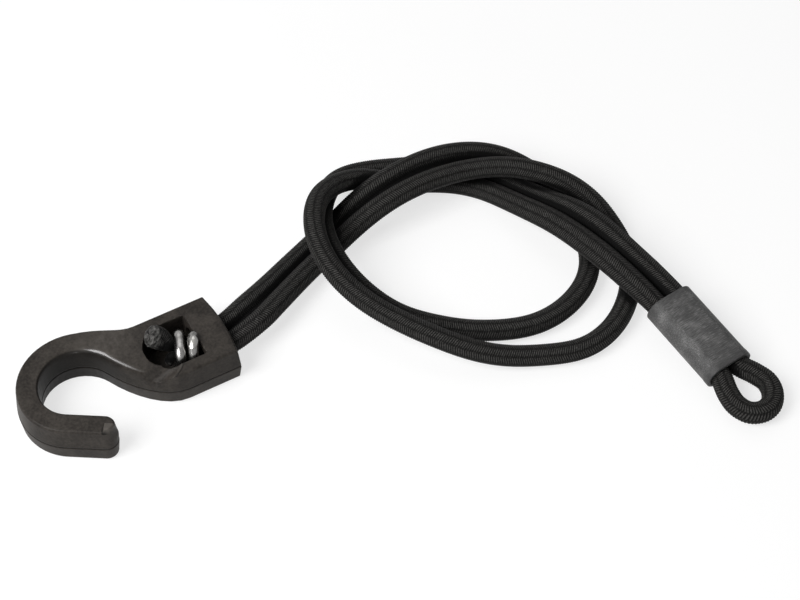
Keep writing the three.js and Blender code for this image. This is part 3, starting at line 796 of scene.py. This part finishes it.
def painted_furrow_shade(skin, first):
    """Painted shade: 1 where a strand's skin touches another strand, fading to 0 away from it.

    The gap is that to the nearest point of the cord's middle which is not a part of the same bend. Its
    square is the sum of both places' squares less twice their product.
    """
    other = np.arange(0, len(centre), FURROW_STEP)
    points, middle = skin.astype(np.float32), centre[other].astype(np.float32)
    square = (points ** 2).sum(axis=2)[..., None] + (middle ** 2).sum(axis=1) - 2 * points @ middle.T
    along = np.abs(first + np.arange(len(skin))[:, None] - other) * ROW_PITCH
    square = np.where(along[:, None] > FURROW_APART, square, np.inf).min(axis=2)
    return 1 - ease(np.sqrt(square) - CORD_RADIUS, *FURROW_GAPS)


def braided_tube(name, first, last):
    """The jacket between two rows of the cord, closed by a pole at each end: rings round the cord's
    middle, drawn in where the relief is low and shifted along it with the slant of the ribs."""
    path, size, fused = centre[first:last], thick[first:last, None], melt[first:last, None]
    row = cord_rows[first:last, None]
    around = np.arange(BRAID_WALES * WALE_POINTS)[None] / (BRAID_WALES * WALE_POINTS)
    woven, shift = braid(around, row)
    relief = woven + fused * (lumps(around, row) - woven)
    scale = size / CORD_RADIUS
    skin = tube(path, size - BRAID_RELIEF * scale * (1 + fused) * (1 - relief), around.size)
    skin = skin + (shift * scale * (1 - fused))[..., None] * unit(np.gradient(path, axis=0))[:, None]
    marks = {"relief": relief, "melt": np.broadcast_to(fused, relief.shape),
             "painted_furrow_shade": painted_furrow_shade(skin, first)}
    piece = surface(name, capped(skin, path[0], path[-1]),
                    attributes={key: to_poles(values) for key, values in marks.items()})
    return piece, path


yarn = braided_yarn()
far_cord, far_path = braided_tube("cord_far_strand", 0, first_cut + 1)
fold_cord, fold_path = braided_tube("cord_fold", first_cut - 1, second_cut + 1)
near_cord, near_path = braided_tube("cord_near_strand", second_cut - 1, len(centre))
for piece in (far_cord, fold_cord, near_cord):
    piece.data.materials.append(yarn)
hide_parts("cord_jacket", "cord_core")
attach(far_cord, "cord")
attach(near_cord, "cord")
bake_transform(fold_cord)


# Sleeve: a grey plastic tube pushed over both strands at the fold and shrunk on, which keeps the eye.
# Its ends are cut square, and it is scuffed pale all round, less toward the ends.
SLEEVE_SPARE = 0.25 * MM
SLEEVE_BORE = CORD_RADIUS + SLEEVE_SPARE
SLEEVE_WALL = 0.85 * MM
SLEEVE_ROUND = 0.3 * MM
LIP_LENGTH = 1.7 * MM
LIP_START = 1.3 * LIP_LENGTH
LIP_RISE = 0.1 * MM
SLEEVE_COLUMNS = 120
SLEEVE_ROWS = 90
ROUND_ROWS = 6
SIDE_STEEP = 4
SCUFF_STRETCH = (46, 130, 1)
SCUFF_SHARE = 0.6
SCUFF_DEPTH = 0.05 * MM
PATCH_SCALE = 300
END_TONE = 0.75
SLEEVE_GREY = (0.056, 0.0555, 0.0555, 1)
SLEEVE_MID = (0.090, 0.089, 0.0885, 1)
SLEEVE_SCUFF = (0.19, 0.188, 0.186, 1)


def racetrack(turn, half, radius):
    """Outline of two half circles joined by straights: a circle whose two halves are moved apart."""
    y = radius * np.sin(turn) + half * np.clip(np.sin(turn) * SIDE_STEEP, -1, 1)
    return y, radius * np.cos(turn)


def scuffed_sleeve():
    """Grey plastic with fine pale scuffs across it in loose patches, fewer toward both ends."""
    made, nodes, links, shader = material("scuffed_sleeve", gloss=0.2)
    along = nodes.new("ShaderNodeUVMap").outputs["UV"]
    place = nodes.new("ShaderNodeTexCoord").outputs["Object"]
    strokes = noise(nodes, links, along, 1, 4, SCUFF_STRETCH)
    patches = noise(nodes, links, place, PATCH_SCALE, 5)
    split = nodes.new("ShaderNodeSeparateXYZ")
    links.new(along, split.inputs["Vector"])
    off_middle = math(nodes, links, "ABSOLUTE", math(nodes, links, "SUBTRACT", split.outputs["Y"], 0.5))
    middle = ramp(nodes, links, off_middle, [(0.38, grey(1)), (0.5, grey(0))])
    tone = math(nodes, links, "ADD", math(nodes, links, "MULTIPLY", strokes, SCUFF_SHARE),
                math(nodes, links, "MULTIPLY", patches, 1 - SCUFF_SHARE))
    kept = math(nodes, links, "ADD", END_TONE, math(nodes, links, "MULTIPLY", middle, 1 - END_TONE))
    worn = math(nodes, links, "MULTIPLY", tone, kept)
    colour = ramp(nodes, links, worn, [(0.38, SLEEVE_GREY), (0.5, SLEEVE_MID), (0.63, SLEEVE_SCUFF)])
    links.new(colour, shader.inputs["Base Color"])
    links.new(bump(nodes, links, strokes, SCUFF_DEPTH), shader.inputs["Normal"])
    return made


arc = np.linspace(0, np.pi / 2, ROUND_ROWS)
outside = SLEEVE_BORE + SLEEVE_WALL
rim = outside - SLEEVE_ROUND
reach = np.concatenate([
    np.linspace(SLEEVE_ROUND, SLEEVE_LENGTH - SLEEVE_ROUND, SLEEVE_ROWS),
    SLEEVE_LENGTH - SLEEVE_ROUND * (1 - np.sin(arc)),
    np.linspace(SLEEVE_LENGTH, 0, SLEEVE_ROWS),
    SLEEVE_ROUND * (1 - np.sin(arc[::-1]))])
walls = np.concatenate([
    np.full(SLEEVE_ROWS, outside),
    rim + SLEEVE_ROUND * np.cos(arc),
    np.full(SLEEVE_ROWS, SLEEVE_BORE),
    rim + SLEEVE_ROUND * np.cos(arc[::-1])])
lip = LIP_RISE * ease(reach, SLEEVE_LENGTH - LIP_START, SLEEVE_LENGTH - LIP_LENGTH)
walls = walls + np.where(walls > SLEEVE_BORE, lip, 0)
reach, walls = np.append(reach, reach[0]), np.append(walls, walls[0])
turn = np.linspace(0, 2 * np.pi, SLEEVE_COLUMNS, endpoint=False)
across, high = racetrack(turn[None], PAIR_HALF, walls[:, None])
skin = in_sleeve(np.stack(np.broadcast_arrays(reach[:, None], across, high), axis=-1))
sleeve_uv = np.stack(np.broadcast_arrays(np.linspace(0, 1, SLEEVE_COLUMNS + 1)[None],
                                         reach[:, None] / SLEEVE_LENGTH), axis=-1)
sleeve = surface("sleeve_tube", skin, sleeve_uv)
sleeve.data.materials.append(scuffed_sleeve())
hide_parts("sleeve")
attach(sleeve, "eye_end")


# Studio: a white floor, a soft lamp from the upper left, a broad weak one from behind, a small low one
# in front for the upright walls, and a pale sky.
FLOOR_HALF = 3.0
FLOOR_GLOW = 0.7
FLOOR_GREY = grey(0.35)
SKY_STRENGTH = 0.13
SKY_SEEN = 0.5
LIT_PLACE = (0.075, -0.01, 0)
LAMPS = [("key", (-0.5, -0.06, 0.62), 0.5, 7),
         ("back", (0.3, 0.5, 0.8), 0.8, 1.5),
         ("front", (-0.25, -0.85, 0.13), 0.16, 1.6)]


def seen_rays(nodes, links):
    """1 for what the camera, a reflection or a clear piece looks at, 0 for light that falls on things."""
    light = nodes.new("ShaderNodeLightPath")
    return math(nodes, links, "MAXIMUM", light.outputs["Is Camera Ray"],
                math(nodes, links, "MAXIMUM", light.outputs["Is Glossy Ray"],
                     light.outputs["Is Transmission Ray"]))


def white_floor():
    """White to the camera and to reflections, with the object's shadow left on it, pale to the rest."""
    made, nodes, links, shader = material("white_floor", 0.9, gloss=0.0)
    shader.inputs["Base Color"].default_value = FLOOR_GREY
    shader.inputs["Emission Color"].default_value = grey(1)
    glow = math(nodes, links, "MULTIPLY", seen_rays(nodes, links), FLOOR_GLOW)
    links.new(glow, shader.inputs["Emission Strength"])
    return made


def pale_sky():
    """A white world, brighter to the camera and to reflections than the light that it gives."""
    made = bpy.data.worlds.new("studio")
    made.use_nodes = True
    nodes, links = made.node_tree.nodes, made.node_tree.links
    background = nodes["Background"]
    background.inputs["Color"].default_value = grey(1)
    glow = math(nodes, links, "MULTIPLY", seen_rays(nodes, links), SKY_SEEN - SKY_STRENGTH)
    links.new(math(nodes, links, "ADD", glow, SKY_STRENGTH), background.inputs["Strength"])
    return made


def stand(data, name, place, aim):
    """A lamp or a camera at a place, facing a point."""
    made = link(data, name)
    made.location = place
    made.rotation_euler = (Vector(aim) - Vector(place)).to_track_quat("-Z", "Y").to_euler()
    return made


floor_mesh = bpy.data.meshes.new("floor")
floor_corners = [(-FLOOR_HALF, -FLOOR_HALF, 0), (FLOOR_HALF, -FLOOR_HALF, 0),
                 (FLOOR_HALF, FLOOR_HALF, 0), (-FLOOR_HALF, FLOOR_HALF, 0)]
floor_mesh.from_pydata(floor_corners, [], [(0, 1, 2, 3)])
floor_mesh.materials.append(white_floor())
link(floor_mesh, "floor")
bpy.context.scene.world = pale_sky()
for name, place, size, power in LAMPS:
    lamp = bpy.data.lights.new(name, "AREA")
    lamp.size = size
    lamp.energy = power
    stand(lamp, name, place, LIT_PLACE)


# Camera: the photograph's view, from the hook's side and above, through a long lens.
CAMERA_PLACE = (-0.1031, -0.3215, 0.4523)
CAMERA_AIM = (0.0741, -0.0083, 0)
LENS_LENGTH = 100
SENSOR_WIDTH = 36
NEAR_LIMIT = 0.01
view = bpy.data.cameras.new("camera")
view.lens = LENS_LENGTH
view.sensor_width = SENSOR_WIDTH
view.clip_start = NEAR_LIMIT
bpy.context.scene.camera = stand(view, "camera", CAMERA_PLACE, CAMERA_AIM)
bpy.context.scene.view_settings.view_transform = "Standard"
